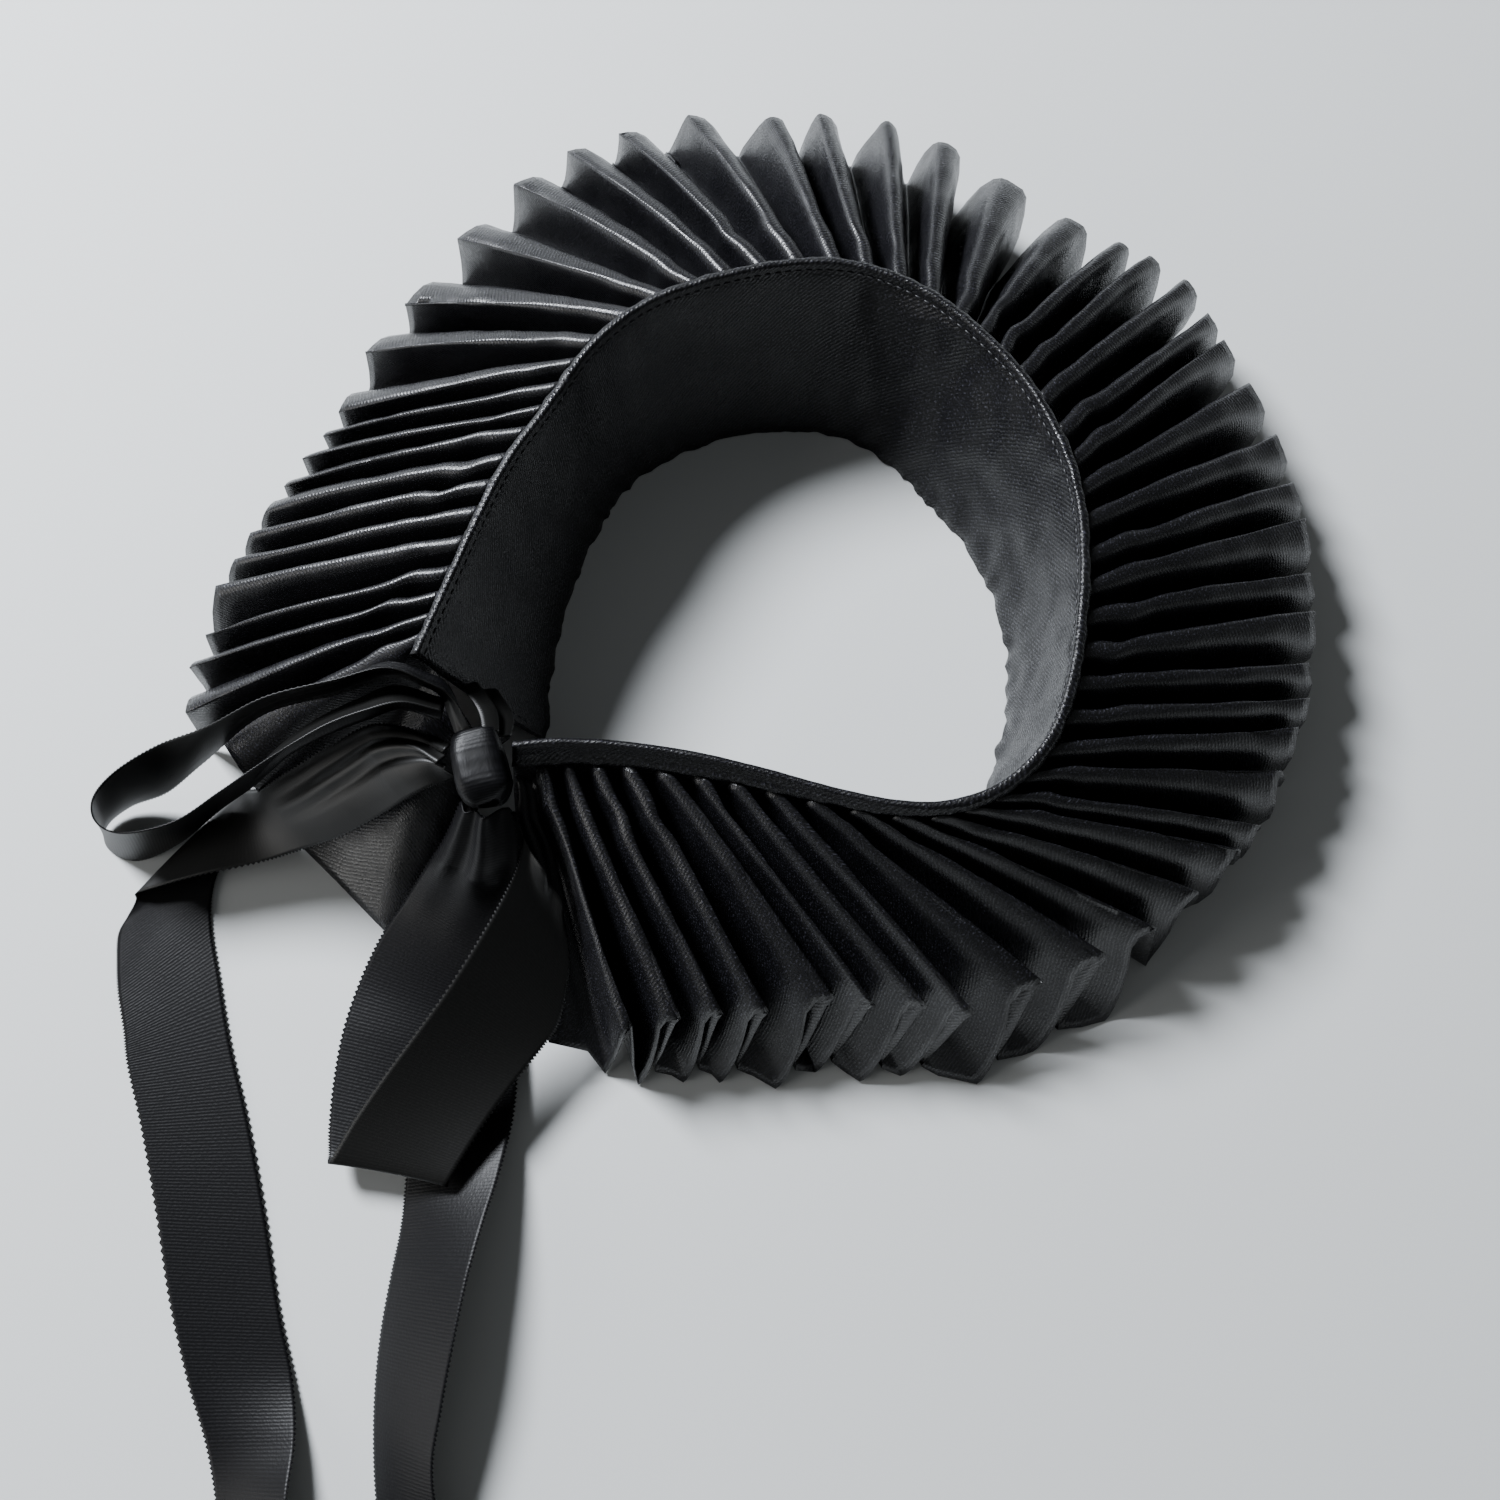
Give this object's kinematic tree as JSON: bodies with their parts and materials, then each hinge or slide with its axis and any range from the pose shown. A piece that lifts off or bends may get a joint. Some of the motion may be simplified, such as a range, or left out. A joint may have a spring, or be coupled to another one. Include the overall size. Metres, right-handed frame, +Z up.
{
  "type": "ruffled collar",
  "caption": "Stand-up neck band with a pleated satin ruffle sewn round its outside, fastened at the front with a picot ribbon tied in a bow, standing open on a flat surface.",
  "frame": {"origin": "middle of the object's box in plan, on the surface it stands on", "axes": "+Z up, -Y towards the bow and the ribbon tails, which is the front, +X to the viewer's right"},
  "size_m": [0.3032, 0.4034, 0.0611],
  "materials": {
    "satin": "black satin weave with a soft sheen",
    "ribbon": "black satin-faced ribbon with toothed selvedges, dull and ribbed on its back"
  },
  "bodies": {
    "root": {"neck_band": "satin", "pleated_ruffle": "satin", "band_tie": "ribbon", "bow_knot": "ribbon", "bow_loop_left": "ribbon", "bow_loop_front": "ribbon", "ribbon_tail_left": "ribbon", "ribbon_tail_right": "ribbon"}
  },
  "joints": []
}
